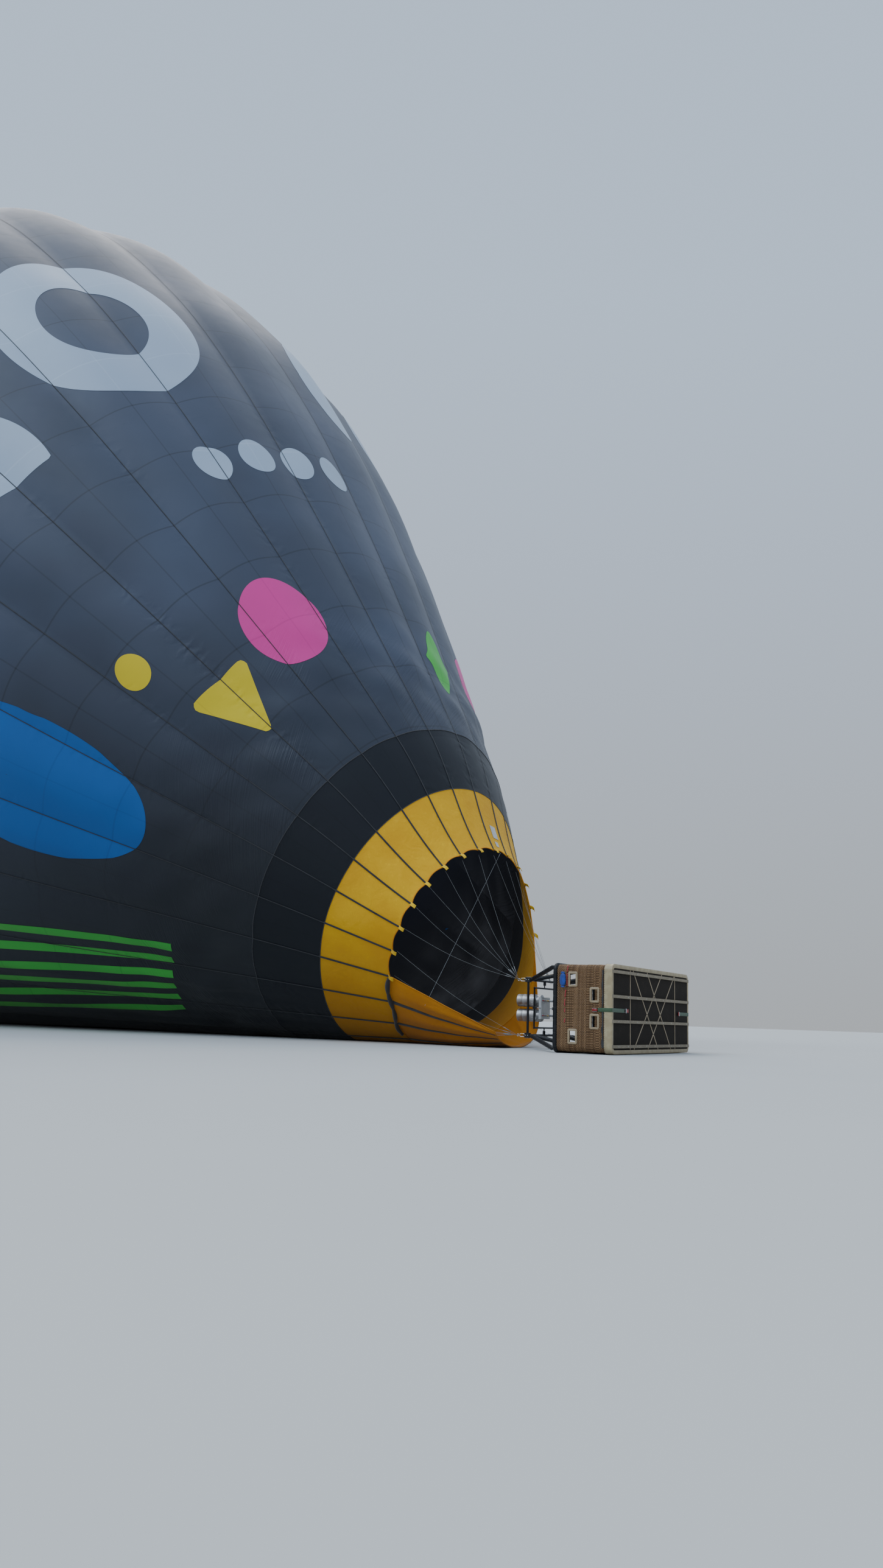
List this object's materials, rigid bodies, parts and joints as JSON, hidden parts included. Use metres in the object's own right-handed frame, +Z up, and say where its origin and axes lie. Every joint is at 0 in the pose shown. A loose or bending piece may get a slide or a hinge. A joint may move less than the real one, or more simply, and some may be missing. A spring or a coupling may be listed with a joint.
{
  "type": "hot air balloon lying on its side while inflating",
  "caption": "Large hot air balloon on its side: lobed gored envelope, skirt, scoop, flying wires, load frame, gimballed burner and a partitioned wicker basket.",
  "frame": {"origin": "the point on the envelope's axis where the lift of its air acts, 19.5 m from the mouth; the ground is 12.403 m below it", "axes": "+X from the crown towards the basket's floor, level; +Y level, along the basket's length; +Z up"},
  "size_m": [32.0533, 23.7368, 24.2604],
  "materials": {
    "slate_fabric": "coated ripstop nylon, slate grey, satin",
    "black_fabric": "coated ripstop nylon, near black, satin",
    "skirt_fabric": "heat-resistant woven fabric, orange yellow, matt",
    "webbing": "woven load tape, black",
    "wire": "sheathed stainless wire rope, pale",
    "steel": "stainless steel, brushed",
    "black_leather": "padded black leather, worn satin",
    "wicker": "woven willow and cane, varnished",
    "floor_board": "weathered marine plywood, dark brown",
    "rawhide": "rawhide band, pale beige",
    "weathered_wood": "weathered hardwood, grey brown",
    "aluminium": "satin aluminium",
    "blue_nylon": "blue nylon pouch"
  },
  "bodies": {
    "balloon": {"mouth_skirt": "skirt_fabric", "envelope_lower_band": "black_fabric", "envelope_lower": "slate_fabric", "envelope_middle": "slate_fabric", "envelope_top": "slate_fabric", "scoop": "skirt_fabric", "crown_ring": "webbing", "flying_wires_1": "wire", "flying_wires_2": "wire", "flying_wires_3": "wire", "flying_wires_4": "wire", "karabiner_1": "steel", "karabiner_2": "steel", "karabiner_3": "steel", "karabiner_4": "steel", "load_frame": "steel", "upright_1": "black_leather", "upright_2": "black_leather", "upright_3": "black_leather", "upright_4": "black_leather", "upright_5": "black_leather", "upright_6": "black_leather", "upright_7": "black_leather", "upright_8": "black_leather", "basket_near_end_wall": "wicker", "basket_far_end_wall": "wicker", "basket_lower_side_wall": "wicker", "basket_upper_side_wall": "wicker", "basket_floor": "floor_board", "base_band": "rawhide", "runner_1": "weathered_wood", "runner_2": "weathered_wood", "runner_3": "weathered_wood", "runner_4": "weathered_wood", "rim_pad": "black_leather", "cross_partition_1": "wicker", "cross_partition_2": "wicker", "long_partition_1": "wicker", "long_partition_2": "wicker", "fuel_cylinder_1": "aluminium", "fuel_cylinder_2": "aluminium", "fuel_cylinder_3": "aluminium", "fuel_cylinder_4": "aluminium", "rim_pouch": "blue_nylon"},
    "valve": {"parachute_valve": "slate_fabric"},
    "gimbal": {"gimbal_frame": "steel"},
    "burner": {"burner_block": "steel", "burner_can_1": "steel", "burner_can_2": "steel", "burner_can_3": "steel", "burner_can_4": "steel"}
  },
  "joints": [
    {"name": "valve_slide", "type": "slide", "parent": "balloon", "child": "valve", "axis": [0.8508, -0.1045, -0.515], "range_m": [0, 1.5], "stiffness_N_per_m": 200, "springref_m": -0.6},
    {"name": "gimbal_swing", "type": "hinge", "parent": "balloon", "child": "gimbal", "pos_m": [18.58017, -2.22702, -11.57724], "axis": [0, 0, 1], "range_deg": [-20, 20]},
    {"name": "burner_tilt", "type": "hinge", "parent": "gimbal", "child": "burner", "pos_m": [18.58017, -2.22702, -11.57724], "axis": [0, 1, 0], "range_deg": [-20, 20]}
  ]
}
